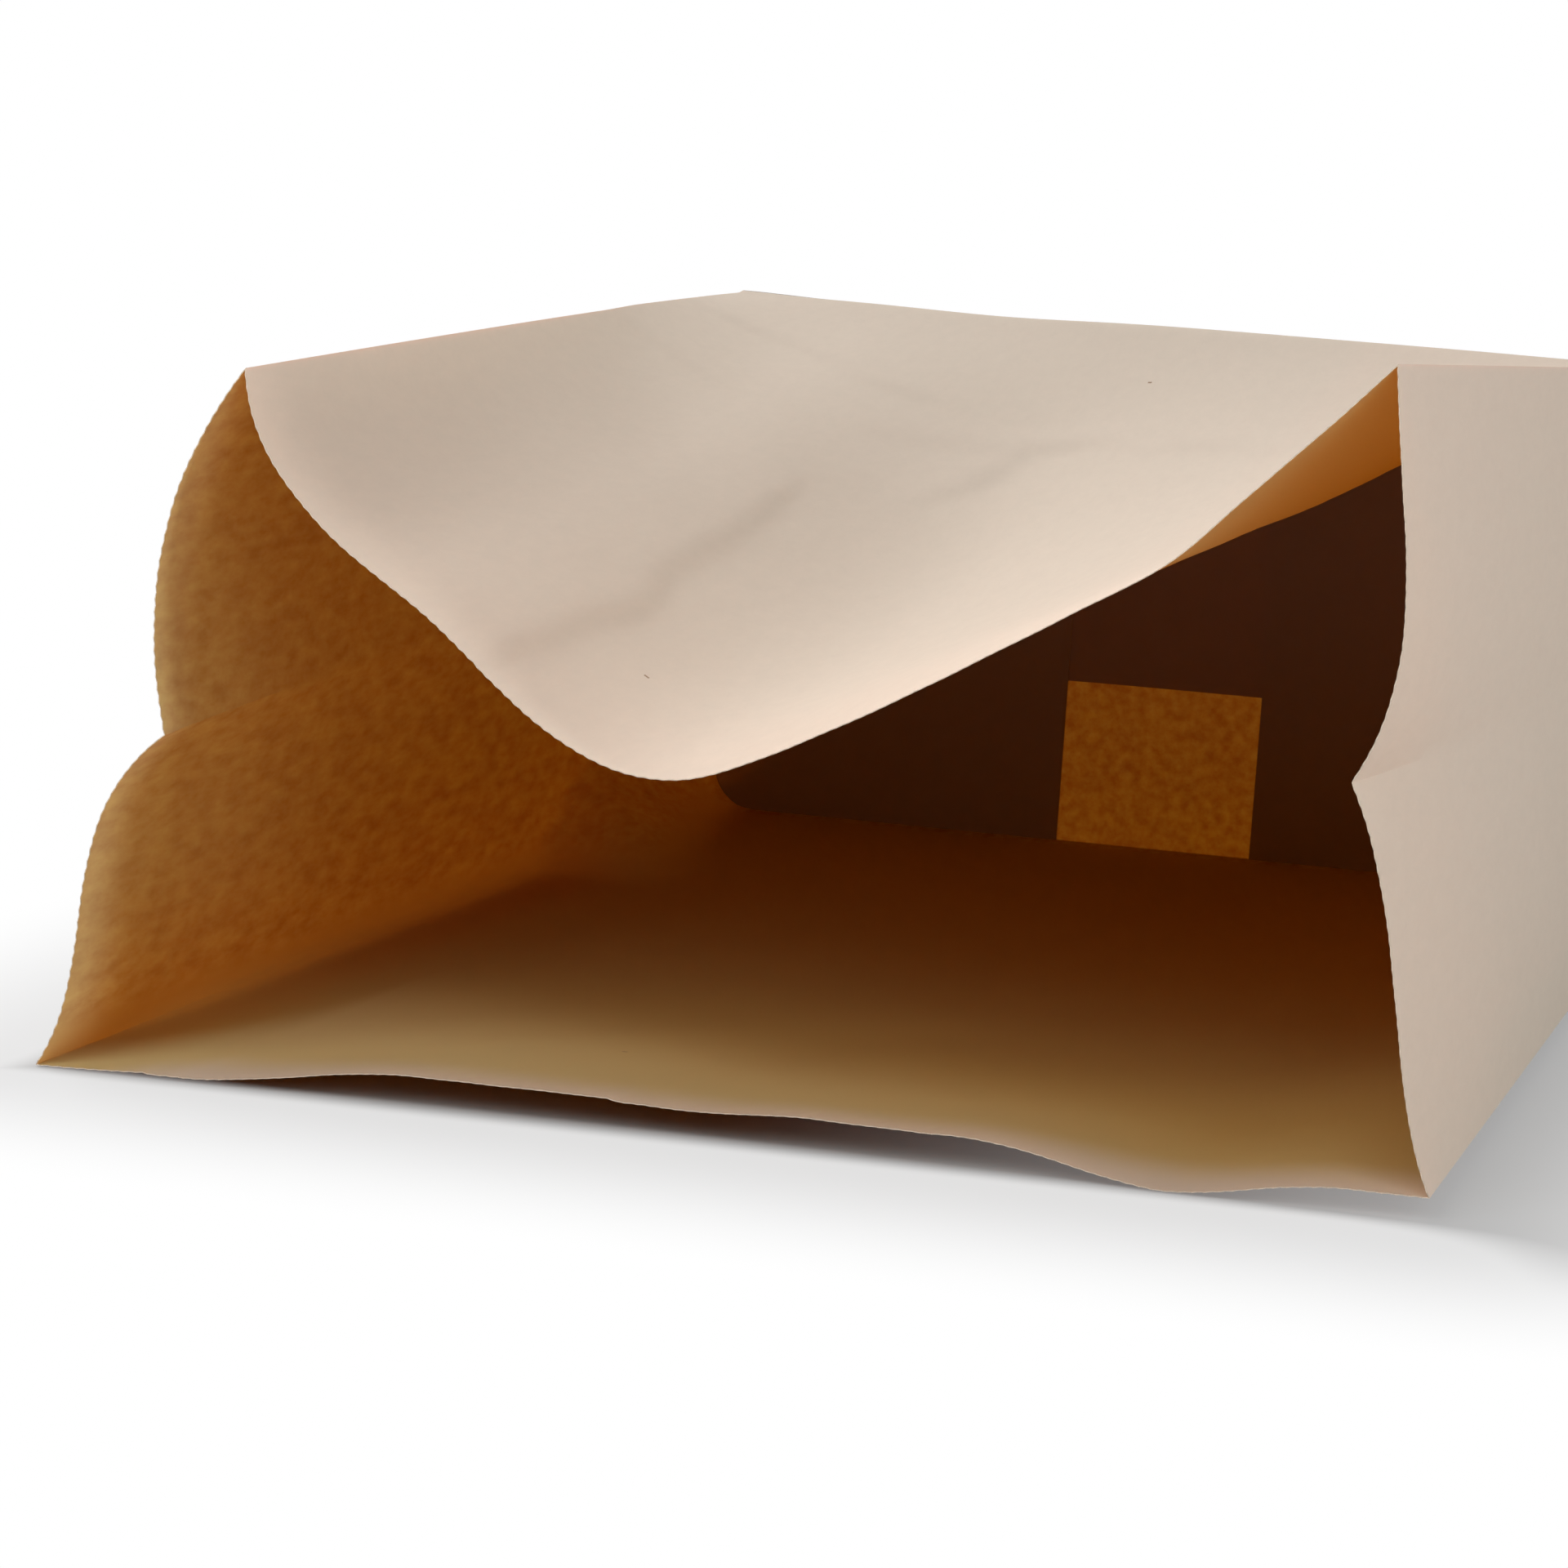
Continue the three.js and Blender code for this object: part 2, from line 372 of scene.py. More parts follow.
def with_specks_and_crease_shade(tree, x, y, colour):
    """A colour with the dark specks and painted shade along the creases."""
    for speck_x, speck_y in SPECKS:
        off_x = tree.maths("ABSOLUTE", x - speck_x * MM, 0.0)
        off_y = tree.maths("ABSOLUTE", y - speck_y * MM, 0.0)
        here = tree.maths("LESS_THAN", largest(tree, off_x, off_y), SPECK_SIZE * MM)
        colour = colour_between(tree, here * SPECK_SHARE, colour, SPECK_BROWN)
    # the crease attribute is painted shade along the front panel's creases
    crease_shade = tree.node("ShaderNodeAttribute", {"attribute_name": "crease"}, output="Fac")
    return colour_between(tree, crease_shade * CREASE_SHADE_SHARE, colour, SHADE_BROWN)


print("specks:", len(SPECKS))

# %% One face of the paper
FIBRE_STRETCH = 0.3  # the fibres lie along the bag, so the clouds are longer that way
CLOUD_SCALE, GRAIN_SCALE = 420.0, 1500.0
CLOUD_SHARE = 0.7  # of the mottling, and the grain has the rest
CLOUD_HEIGHT = 0.6  # of the tooth, beside the grain's
TOOTH_STRENGTH, TOOTH_DEPTH = 0.04, 0.0001
CLOUDS_FROM = (0.003, 0.009)  # metres off the floor, where the light begins to show the clouds,
CLOUDS_TO = (0.03, 0.06)  # metres to the right, where that ends,
BOTTOM_FROM = 0.17  # and metres back, where the bottom shows them down to the floor
CLOUD_CONTRAST = 2.4


def paper_finish(name, colours, contrast, through, thin, thick):
    """One face of the paper.

    colours: painted light at the cut, at the mouth, painted shade far inside and by the left crease
    contrast: how mottled they are
    through: how much light passes; thin, thick: its tints where the fibres lie thin and thick
    """
    finish = bpy.data.materials.new(name)
    tree = bare_tree(finish)
    place = tree.node("ShaderNodeTexCoord", output="Object")
    x, y, z = (tree.node("ShaderNodeSeparateXYZ", {}, {0: place}, axis) for axis in "XYZ")
    fibres = vector_maths(tree, "MULTIPLY", place, (1.0, FIBRE_STRETCH, 1.0))

    def noise(scale, detail):
        return tree.node("ShaderNodeTexNoise", {}, {
            "Vector": fibres, "Scale": scale, "Detail": detail, "Roughness": 0.6})

    clouds = noise(CLOUD_SCALE, 3.0)
    grain = noise(GRAIN_SCALE, 2.0)
    shade = clouds * CLOUD_SHARE + grain * (1 - CLOUD_SHARE)
    shaded = [mottled(tree, shade, colour, contrast) for colour in colours]
    colour = with_specks_and_crease_shade(tree, x, y, painted_light_and_shade(tree, x, y, z, *shaded))
    height = grain + clouds * CLOUD_HEIGHT
    tooth = tree.node("ShaderNodeBump", {}, {
        "Strength": TOOTH_STRENGTH, "Distance": TOOTH_DEPTH, "Height": height})
    matte = tree.node("ShaderNodeBsdfPrincipled", {}, {
        "Base Color": colour, "Roughness": 0.85, "Specular IOR Level": 0.2, "Normal": tooth})
    glows = [tree.node("ShaderNodeBsdfTranslucent", {}, {"Color": (*tint, 1)}) for tint in (thick, thin)]
    off_floor = z + largest(tree, y - BOTTOM_FROM, 0.0)
    backlit = smooth_ramp(tree, off_floor, *CLOUDS_FROM) * (1 - smooth_ramp(tree, x, *CLOUDS_TO))
    cloudy = 0.5 + (clouds - 0.5) * CLOUD_CONTRAST * backlit
    glow = tree.node("ShaderNodeMixShader", {}, {0: cloudy, 1: glows[0], 2: glows[1]})
    both = tree.node("ShaderNodeMixShader", {}, {0: through, 1: matte, 2: glow})
    tree.node("ShaderNodeOutputMaterial", {}, {"Surface": both})
    return finish


print("clouds are about", round(1000 / CLOUD_SCALE, 1), "mm across")

# %% The paper's finishes
PALE = (0.87, 0.78, 0.65)
# the inner face's cream is painted light at the cut, its rust painted shade far inside, and its ember a
# painted shadow by the lower left crease
CUT_LIGHT, TAN, DEEP_SHADE = (0.95, 0.86, 0.76), (0.78, 0.64, 0.31), (0.52, 0.35, 0.11)
CREASE_SHADOW_COLOUR = (0.58, 0.28, 0.05)
GOLD, AMBER = (1.0, 1.0, 0.7), (0.72, 0.5, 0.28)
ORANGE = (1.0, 0.31, 0.014)

outside = paper_finish("paper_outside", [PALE] * 4, 0.06, 0.25, ORANGE, ORANGE)
inside = paper_finish("paper_inside", [CUT_LIGHT, TAN, DEEP_SHADE, CREASE_SHADOW_COLOUR], 0.02, 0.45, GOLD, AMBER)
# the bottom's inner faces are painted a darker brown, as shade far inside the bag; the glued ones also let
# hardly any light by
bottom_inside = paper_finish("paper_bottom", [SHADE_BROWN] * 4, 0.04, 0.7, GOLD, AMBER)
glued_painted_shade = paper_finish("paper_glued", [SHADE_BROWN] * 4, 0.04, 0.08, AMBER, AMBER)
print("finishes:", outside.name, inside.name, bottom_inside.name, glued_painted_shade.name)

# %% The cut edge
FUZZ_SCALE = 2500.0
FUZZ_DARK, FUZZ_PALE = (0.62, 0.5, 0.37), (0.76, 0.66, 0.54)

edge = bpy.data.materials.new("paper_edge")
tree = bare_tree(edge)
place = tree.node("ShaderNodeTexCoord", output="Object")
fuzz = tree.node("ShaderNodeTexNoise", {}, {"Vector": place, "Scale": FUZZ_SCALE, "Detail": 2.0})
fuzzy = colour_between(tree, fuzz, FUZZ_DARK, FUZZ_PALE)
raw = tree.node("ShaderNodeBsdfPrincipled", {}, {
    "Base Color": fuzzy, "Roughness": 0.95, "Specular IOR Level": 0.1})
tree.node("ShaderNodeOutputMaterial", {}, {"Surface": raw})
print("finish:", edge.name)

# %% [markdown]
# ## The flat sheet and its toothed cut
#
# The sheet starts as a grid, two by three millimetres a face, as wide as the tube is round. Its UV map is
# then the paper's own flat measure. The knife that cuts the mouth leaves teeth about two millimetres apart.
# They could be drawn by a texture, but at the rim they change the outline, so the rim's edges are divided and
# each new point is pushed out.

# %% Add the sheet
PANEL = 220.0  # millimetres, as all the sheet's sizes
GUSSET = 120.0
BODY = 360.0
GIRTH = 2 * (PANEL + GUSSET)
COLUMNS = 340
ROWS = 120

bpy.ops.object.select_all(action="DESELECT")
bpy.ops.mesh.primitive_grid_add(x_subdivisions=COLUMNS, y_subdivisions=ROWS, size=1.0)
bag = bpy.context.object
bag.name = "bag"
for finish in (outside, inside, edge):
    bag.data.materials.append(finish)
bpy.ops.object.mode_set(mode="EDIT")
bpy.ops.transform.resize(value=(GIRTH * MM, BODY * MM, 1.0))
bpy.ops.object.mode_set(mode="OBJECT")
print("sheet:", len(bag.data.vertices), "points,", [round(side / MM) for side in bag.dimensions], "mm")

# %% Cut the teeth
TOOTH = 0.4
SAME_PLACE = 1e-6  # metres, under which two places count as one


def points_of(mesh):
    flat = np.empty(len(mesh.vertices) * 3)
    mesh.vertices.foreach_get("co", flat)
    return flat.reshape(-1, 3)


rim_y = float(points_of(bag.data)[:, 1].min())
before = len(bag.data.vertices)
for line in bag.data.edges:
    line.select = all(abs(bag.data.vertices[i].co.y - rim_y) < SAME_PLACE for i in line.vertices)
for point in bag.data.vertices:
    point.select = abs(point.co.y - rim_y) < SAME_PLACE
for face in bag.data.polygons:
    face.select = False
bpy.ops.object.mode_set(mode="EDIT")
bpy.ops.mesh.select_mode(type="EDGE")
bpy.ops.mesh.subdivide(number_cuts=1)
bpy.ops.object.mode_set(mode="OBJECT")
for point in bag.data.vertices[before:]:
    point.co.y -= TOOTH * MM
print("teeth:", len(bag.data.vertices) - before)

# %% [markdown]
# ## The fold into a tube
#
# Each cross-section of the bag is a closed line of nine runs: the back panel, two halves of the right gusset,
# four runs of the sagging front panel and two halves of the left gusset. Every run is a Bezier curve, and the
# sheet's columns are spread along it evenly, because paper bends but does not stretch. Between the mouth and
# the bottom the handles move smoothly from the sagged shape to a plain rectangle. A cloth simulation could
# make a sag too, but paper holds its creases, so the curves are set directly.

# %% Curves of one cross-section
CURVE_STEPS = 81


def at(x, z):
    return np.array((x, z), float)


def blend(start, end, share):
    return start + (end - start) * share


def spread(handles, shares):
    """Points at the given shares of the length of a Bezier curve."""
    fine = np.linspace(0, 1, CURVE_STEPS)[:, None]
    lines = [handle[None, :] for handle in handles]
    while len(lines) > 1:
        lines = [blend(one, other, fine) for one, other in zip(lines, lines[1:])]
    steps = np.linalg.norm(np.diff(lines[0], axis=0), axis=1)
    way = np.concatenate(([0.0], np.cumsum(steps))) / steps.sum()
    return np.column_stack([np.interp(shares, way, lines[0][:, axis]) for axis in (0, 1)])


def bowed(start, end, bows, share):
    """Handles of a gusset half that bows outwards by two amounts."""
    run = end - start
    out = at(run[1], -run[0]) / np.linalg.norm(run)
    return [start, blend(start, end, 1 / 3) + out * bows[0] * share,
            blend(start, end, 2 / 3) + out * bows[1] * share, end]


print("curve helpers ready")

# %% The sagging front panel
FRONT_RUNS = (44.0, 83.0, 56.0, 37.0)  # from the right crease: to a ridge, the lowest point, a bend, the left
HANGS = ((4.1, -29.6), (-4.1, -62.0), (-7.8, -31.8))  # how far these three are off the straight panel
FRONT_HANDLES = (  # how each run after the ridge leaves its start, and how it reaches its end
    ((-14.8, -6.7), (-13.7, 0)),
    ((-19.2, 0), (-17.9, 9.8)),
    ((-2.3, 1.3), (0.7, 14.2)),
)


def front_runs(top_right, top_left, sag):
    """(length on the sheet, handles) of the front panel's runs, at a share of the full sag."""
    line = (top_left - top_right) / PANEL
    places = np.cumsum(FRONT_RUNS)
    hung = [top_right + line * place + at(*hang) * sag for place, hang in zip(places, HANGS)]
    runs = [(FRONT_RUNS[0], [top_right, hung[0]])]
    for length, start, end, handles in zip(FRONT_RUNS[1:], hung, [*hung[1:], top_left], FRONT_HANDLES):
        leave, reach = (blend(line * (length / 3), at(*handle), sag) for handle in handles)
        runs.append((length, [start, start + leave, end - reach, end]))
    return runs


print("front rim is", round(sum(FRONT_RUNS)), "mm on the sheet")

# %% The runs of one cross-section
HALF = PANEL / 2
LOW_LEFT_IN, LOW_RIGHT_IN = 0.3, 2.5  # how far the mouth's corners have moved inwards
TOP_LEFT_IN, TOP_RIGHT_IN = 29.8, 16.6
RIGHT_LIFT = 3.4  # the right side of the mouth stands off the floor,
TOP_LEFT_DROP, DROP_POWER = 9.0, 1.25  # and its top left corner hangs
SAG_EVEN, SAG_POWER = 0.2, 2.8  # a part of the sag fades evenly, and the rest near the bottom
SLACK_POWER = 4  # the bows of the gussets fade soon behind the mouth
LEFT_FOLD, RIGHT_FOLD = at(4.0, -1.6), at(-8.7, -0.4)  # how far the gussets' folds are off the middle
RIGHT_BOWS = ((-3.6, 4.6), (10.2, 2.4))  # of the gusset's lower half, then of its upper half
LEFT_BOWS = ((12.5, -4.5), (9.3, 8.6))


def section_runs(t):
    """(length on the sheet, handles) of each run, a share t of the way from the mouth to the bottom."""
    free = 1 - t
    sag = 1 - SAG_EVEN * t - (1 - SAG_EVEN) * t ** SAG_POWER
    low_left = at(-HALF + LOW_LEFT_IN * free, 0)
    low_right = at(HALF - LOW_RIGHT_IN * free, RIGHT_LIFT * free)
    top_right = at(HALF - TOP_RIGHT_IN * free, GUSSET + RIGHT_LIFT * free)
    top_left = at(-HALF + TOP_LEFT_IN * free, GUSSET - TOP_LEFT_DROP * free ** DROP_POWER)
    slack = free ** SLACK_POWER
    right_fold = (low_right + top_right) / 2 + RIGHT_FOLD * slack
    left_fold = (low_left + top_left) / 2 + LEFT_FOLD * slack
    half_gusset = GUSSET / 2
    return [
        (PANEL, [low_left, low_right]),
        (half_gusset, bowed(low_right, right_fold, RIGHT_BOWS[0], slack)),
        (half_gusset, bowed(right_fold, top_right, RIGHT_BOWS[1], slack)),
        *front_runs(top_right, top_left, sag),
        (half_gusset, bowed(top_left, left_fold, LEFT_BOWS[1], slack)),
        (half_gusset, bowed(left_fold, low_left, LEFT_BOWS[0], slack)),
    ]


def section(t, across):
    """The outline at t, for places across the sheet from the lower left crease."""
    outline = np.empty((len(across), 2))
    begin = 0.0
    for length, handles in section_runs(t):
        here = (across >= begin) & (across <= begin + length)
        outline[here] = spread(handles, (across[here] - begin) / length)
        begin += length
    return outline


print("runs in a section:", len(section_runs(0)))

# %% Fold every row of the sheet
SKEW = 4.6  # the mouth's left edge is forward and its right edge back,
CUT_FORWARD = 0.5  # and all of it is a little forward
SQUARE_END = 2.0  # the last millimetres are a plain rectangle

across = np.linspace(0, GIRTH, COLUMNS + 1)
along = np.linspace(0, BODY, ROWS + 1)
shares = np.minimum(1, along / (BODY - SQUARE_END))
outlines = np.array([section(t, across) for t in shares])
folded = np.empty((ROWS + 1, COLUMNS + 1, 3))
folded[..., 0] = outlines[..., 0]
folded[..., 1] = along[:, None] + (1 - shares[:, None]) * (SKEW * outlines[..., 0] / HALF - CUT_FORWARD)
folded[..., 2] = outlines[..., 1]
print("tube spans", np.ptp(folded.reshape(-1, 3), axis=0).round(1), "mm")

# %% [markdown]
# ## What the paper remembers
#
# The bag was stored flat. The gussets' folds have printed a soft line along the front panel, the folded
# bottom has left slanting creases on the gussets, and the far end of the panel has small wrinkles. The front
# panel's creases have painted shade along one side. The cut edge of the back panel lifts off the floor in
# waves. The lower left crease has gone round, and near the bottom it has buckled up off the floor. Sculpting
# could add all this by hand.
# Written as small heights over the flat sheet, each mark keeps its size and place and can be tuned alone.

# %% Soften the front panel and the lower left crease
RIGHT_CREASE = PANEL + GUSSET
LEFT_CREASE = RIGHT_CREASE + PANEL
FRONT_ROUNDS, CREASE_ROUNDS = 8, 7
ROUND_REACH = 9.0  # the lower left crease is round this far on both sides,
ROUND_FROM = (15, 80)  # except at the mouth


def smooth_step(low, high, value):
    share = np.clip((value - low) / (high - low), 0, 1)
    return share * share * (3 - 2 * share)


front = np.flatnonzero((across > RIGHT_CREASE) & (across < LEFT_CREASE))
for _ in range(FRONT_ROUNDS):
    beside = folded[:, front - 1] + folded[:, front + 1]
    folded[:, front] = (beside + 2 * folded[:, front]) / 4

near_left = np.minimum(across, GIRTH - across)[:-1] < ROUND_REACH
soft = smooth_step(*ROUND_FROM, along)[:, None, None]
for _ in range(CREASE_ROUNDS):
    ring = folded[:, :-1]
    even = (np.roll(ring, 1, axis=1) + 2 * ring + np.roll(ring, -1, axis=1)) / 4
    folded[:, :-1][:, near_left] = blend(ring, even, soft)[:, near_left]
folded[:, -1] = folded[:, 0]
print("columns in the round crease:", near_left.sum())

# %% Lift the back panel's edge
WAVE_HEIGHT, WAVE_DEPTH = 4.7, 110.0
WAVE = ((-86, -48), (70, 36))  # where it rises and where it falls
NOTCH_DEPTH, NOTCH = 0.5, ((-17.5, -14.5), (15, 0))
DIMPLE_DEPTH, DIMPLE_PLACE, DIMPLE_WIDTH = 0.4, -2, 8
RIGHT_CORNER_RISE = (68, 96)
ROUND_LEFT = -90


def cusp(distance, reach):
    """A sharp line that falls off to nothing within its reach."""
    return np.maximum(0, 1 - np.abs(distance) / reach) ** 2


def mound(distance, reach):
    return np.exp(-(distance / reach) ** 2)


def hump(ramps, value):
    """1 between a rising and a falling ramp, and 0 outside them."""
    rising, falling = ramps
    return smooth_step(*rising, value) * smooth_step(*falling, value)


back = across <= PANEL
x_back = folded[:, back, 0]
round_rise = folded[:, back, 2] * (x_back < ROUND_LEFT)
wave = WAVE_HEIGHT * hump(WAVE, x_back) - NOTCH_DEPTH * hump(NOTCH, x_back)
wave -= DIMPLE_DEPTH * mound(x_back - DIMPLE_PLACE, DIMPLE_WIDTH)
fade = cusp(along, WAVE_DEPTH)[:, None]
corner_lift = RIGHT_LIFT * (1 - shares[:, None]) * smooth_step(*RIGHT_CORNER_RISE, x_back)
folded[:, back, 2] = wave * fade + corner_lift + round_rise
print("front edge lifts up to", folded[0, back, 2].max().round(1), "mm")

# %% Distances on the front panel
u, v = np.meshgrid(across, along)
from_left = LEFT_CREASE - u  # across the front panel, from its left crease
to_bottom = BODY - v


def inside_panel(start, end):
    """1 on the front panel, falling to 0 from one distance off its creases to another."""
    return smooth_step(start, end, from_left) * smooth_step(start, end, PANEL - from_left)


def path_distance(path):
    """Distance on the sheet from a line of points on the front panel, negative on its right."""
    nearest = np.full_like(u, 1e9)
    for (a, b), (c, d) in zip(path, path[1:]):
        share = ((from_left - a) * (c - a) + (v - b) * (d - b)) / ((c - a) ** 2 + (d - b) ** 2)
        share = np.clip(share, 0, 1)
        away = np.hypot(from_left - a - share * (c - a), v - b - share * (d - b))
        away *= np.where((c - a) * (v - b) > (d - b) * (from_left - a), 1, -1)
        nearest = np.where(np.abs(away) < np.abs(nearest), away, nearest)
    return nearest


print("sheet grid:", u.shape)

# %% Creases of the front panel
PRINTED_LINE = ((60, 22), (60, 55), (62, 78), (61, 91), (58, 108), (58, 160), (57, 192))
FAR_FOLD = ((81, 248), (85, 262), (88, 282), (101, 289), (113, 281), (127, 278), (143, 265))
FAR_BRANCH = ((61, 266), (73, 275), (88, 282))
CORNER_LINE = ((1, 236), (7, 243), (20, 247))
CORNER_BAND = ((4, 304), (13, 307), (29, 307), (47, 293), (58, 295))
FRONT_CREASES = (  # line, height of the step, its width, and how dark the shade painted along it is
    (PRINTED_LINE, 0.55, 2.3, 0.15),
    (FAR_FOLD, 0.4, 2.8, 0.6),
    (FAR_BRANCH, 0.22, 2.8, 0.4),
    (CORNER_LINE, 0.35, 2.6, 0.5),
    (CORNER_BAND, 0.4, 2.8, 0.5),
)
CREASE_REACH = 11.0
CREASE_ENDS = (0, 8)  # the steps fade out this near the panel's edges
MARK_OFFSET, MARK_WIDTH = 1, 1.6

rise = np.zeros_like(u)
painted_crease_shade = np.zeros_like(u)  # painted shade along the creases, on their darker side
patchy = 0.7 + 0.3 * np.sin(u / 4.3 + 2 * np.sin(v / 6.1))
for path, height, width, crease_darkness in FRONT_CREASES:
    away = path_distance(path)
    step = height * np.tanh(away / width) * np.exp(-np.abs(away) / CREASE_REACH)
    rise += step * inside_panel(*CREASE_ENDS)
    painted_crease_shade = np.maximum(painted_crease_shade, crease_darkness * patchy * mound(away - MARK_OFFSET, MARK_WIDTH * width))
print("creases on the front panel:", len(FRONT_CREASES))

# %% A faint line and the dip of the front panel
FAINT_LINE, FAINT_DEPTH, FAINT_WIDTH = 160, 0.25, 6
FAINT_FROM, FAINT_TO = (40, 90), (20, 60)  # from the mouth, and from the bottom
DIP, DIP_NEAR, DIP_FAR = 3.3, 35, 140  # the panel dips towards its free edge,
DIP_ENDS = (10, 60)  # away from its creases

along_body = smooth_step(*FAINT_FROM, v) * smooth_step(*FAINT_TO, to_bottom)
rise -= FAINT_DEPTH * mound(from_left - FAINT_LINE, FAINT_WIDTH) * along_body
rise += DIP * (1 - np.exp(-v / DIP_NEAR)) * np.exp(-v / DIP_FAR) * inside_panel(*DIP_ENDS)
print("front panel heights up to", rise.max().round(2), "mm")

# %% Creases of the gussets
FOLD_DEPTH, FOLD_REACH = 0.3, 18
FOLD_FROM, FOLD_TO = (40, 160), (0, 20)  # from the mouth, and from the bottom
SLANT_HEIGHT, SLANT_REACH = 0.5, 7
SLANT_END = (66, 54)  # millimetres from the bottom

for fold in (PANEL + GUSSET / 2, LEFT_CREASE + GUSSET / 2):
    side = np.abs(u - fold)
    on_gusset = (side < GUSSET / 2) * smooth_step(*FOLD_TO, to_bottom)
    rise -= FOLD_DEPTH * cusp(side, FOLD_REACH) * smooth_step(*FOLD_FROM, v) * on_gusset
    slant = (GUSSET / 2 - side - to_bottom) / math.sqrt(2)
    rise += SLANT_HEIGHT * cusp(slant, SLANT_REACH) * smooth_step(*SLANT_END, to_bottom) * on_gusset
print("gussets creased")

# %% The slack of the whole sheet
LONG_WAVES, SLANTED_WAVES, SHORT_WAVES = 0.18, 0.22, 0.05  # millimetres, each of its own lengths
SLACK_FROM, SLACK_TO = (2, 25), (5, 40)  # from the creases, and from the bottom

creases = (0, PANEL, RIGHT_CREASE, LEFT_CREASE, GIRTH)
to_crease = np.min([np.abs(u - crease) for crease in creases], axis=0)
slack = smooth_step(*SLACK_FROM, to_crease) * smooth_step(*SLACK_TO, to_bottom)
long_waves = np.sin(u / 11.3 + 1.1 * np.sin(v / 23)) + np.sin(v / 17.1 + 1.4 * np.sin(u / 19))
slanted_waves = np.sin(u / 27 - v / 31 + 1.7 * np.sin(v / 43))
short_waves = np.sin(u / 3.1 + 2.1 * np.sin(v / 8.3)) * np.sin(v / 4.7 + 1.9 * np.sin(u / 7.9))
rise += slack * (LONG_WAVES * long_waves + SLANTED_WAVES * slanted_waves + SHORT_WAVES * short_waves)
rise[u <= PANEL] = -np.abs(rise[u <= PANEL])  # the floor only lets the back panel rise inwards
print("heights from", rise.min().round(2), "to", rise.max().round(2), "mm")

# %% Push the sheet out by these heights
ring = folded[:, :-1]
round_way = np.roll(ring, -1, axis=1) - np.roll(ring, 1, axis=1)
normal = np.cross(np.gradient(ring, axis=0), round_way)
normal /= np.linalg.norm(normal, axis=2, keepdims=True)
normal = np.concatenate((normal, normal[:, :1]), axis=1)
folded += normal * rise[..., None]
print("outward at the floor:", normal[ROWS // 2, COLUMNS // 8].round(2))

# %% Buckle the lower left crease and lean the far end
BUCKLE = ((-110, 226), (-80, 233), (-104, 360))  # the crease is up off the floor on the left of this line
BUCKLE_SLOPES = (0.6, 0.8)
BUCKLE_BLEND = 2.5  # the ridge between its two facets is round
TWIST = 1.5  # the top of the far end leans: left up, right down
PEAK, PEAK_FROM, PEAK_LENGTH = 0.5, -88, 4  # its left corner stands up,
HOLLOW, HOLLOW_PLACE, HOLLOW_WIDTH = 0.9, -48, 26  # and beside that it is a little hollow,
HOLLOW_POWER = 4  # but not near the mouth


def settle(points):
    """Heights that the buckled crease and the far end's top have moved by."""
    x, y, z = points[..., 0], points[..., 1], points[..., 2]
    heights = []
    for (a, b), (c, d), slope in zip(BUCKLE, BUCKLE[1:], BUCKLE_SLOPES):
        off = ((c - a) * (y - b) - (d - b) * (x - a)) / math.hypot(c - a, d - b)
        heights.append(slope * off)
    lower = -BUCKLE_BLEND * np.logaddexp(-heights[0] / BUCKLE_BLEND, -heights[1] / BUCKLE_BLEND)
    buckle = np.logaddexp(0, lower)
    high = np.clip(z / GUSSET, 0, 1)
    far = np.clip(y / BODY, 0, 1)
    peak = PEAK * smooth_step(PEAK_FROM, -HALF, x) * smooth_step(BODY - PEAK_LENGTH, BODY, y)
    hollow = HOLLOW * mound(x - HOLLOW_PLACE, HOLLOW_WIDTH) * far ** HOLLOW_POWER
    return buckle * (1 - high) + high * (peak - hollow - TWIST * (x / HALF) * far)


folded[..., 2] += settle(folded)
print("far lower left corner is", folded[-1, 0, 2].round(1), "mm off the floor")

# %% [markdown]
# ## The tube takes its place and its thickness
#
# The grid's points are moved to the folded places, the long seam is merged, the normals are turned outwards,
# and Solidify gives the sheet its thickness inwards. Extruding the faces could do that too, but Solidify's
# material offsets also put the second finish on the inner face and the third on the cut rim.

# %% Move the points
LAYER = 0.25  # one layer of paper and the air beside it
FRONT_DEPTH, BACK_DEPTH = 2, 3  # the flaps' places among the bottom's layers
MIDDLE = 177.225  # the frame's origin is the middle of the part's box


def on_sheet(values, flat):
    """Values, given at the rows and columns of the sheet, at points on it in millimetres."""
    column = np.clip(flat[:, 0] / GIRTH * COLUMNS, 0, COLUMNS)
    row = flat[:, 1] / BODY * ROWS
    c = np.minimum(column.astype(int), COLUMNS - 1)
    r = np.clip(np.floor(row).astype(int), 0, ROWS - 1)
    part_c, part_r = (column - c)[:, None], (row - r)[:, None]
    near = blend(values[r, c], values[r, c + 1], part_c)
    far = blend(values[r + 1, c], values[r + 1, c + 1], part_c)
    return blend(near, far, part_r)


def set_points(mesh, places):
    """Puts a mesh's points at places in millimetres from the mouth, in the frame's own metres."""
    mesh.vertices.foreach_set("co", ((places - (0, MIDDLE, 0)) * MM).ravel())
    mesh.update()


panel_columns = round(COLUMNS * PANEL / GIRTH)
folded[-1, 1:panel_columns, 1] += BACK_DEPTH * LAYER
folded[-1, front, 1] += FRONT_DEPTH * LAYER
flat = points_of(bag.data)[:, :2] / MM + (GIRTH / 2, BODY / 2)
set_points(bag.data, on_sheet(folded, flat))
# painted shade along the front panel's creases, by which the finishes darken the paper
crease = bag.data.attributes.new("crease", "FLOAT", "POINT")
crease.data.foreach_set("value", on_sheet(painted_crease_shade[..., None], flat).ravel())
print("tube placed")

# %% Close the seam and give the sheet its thickness
PAPER = 0.15


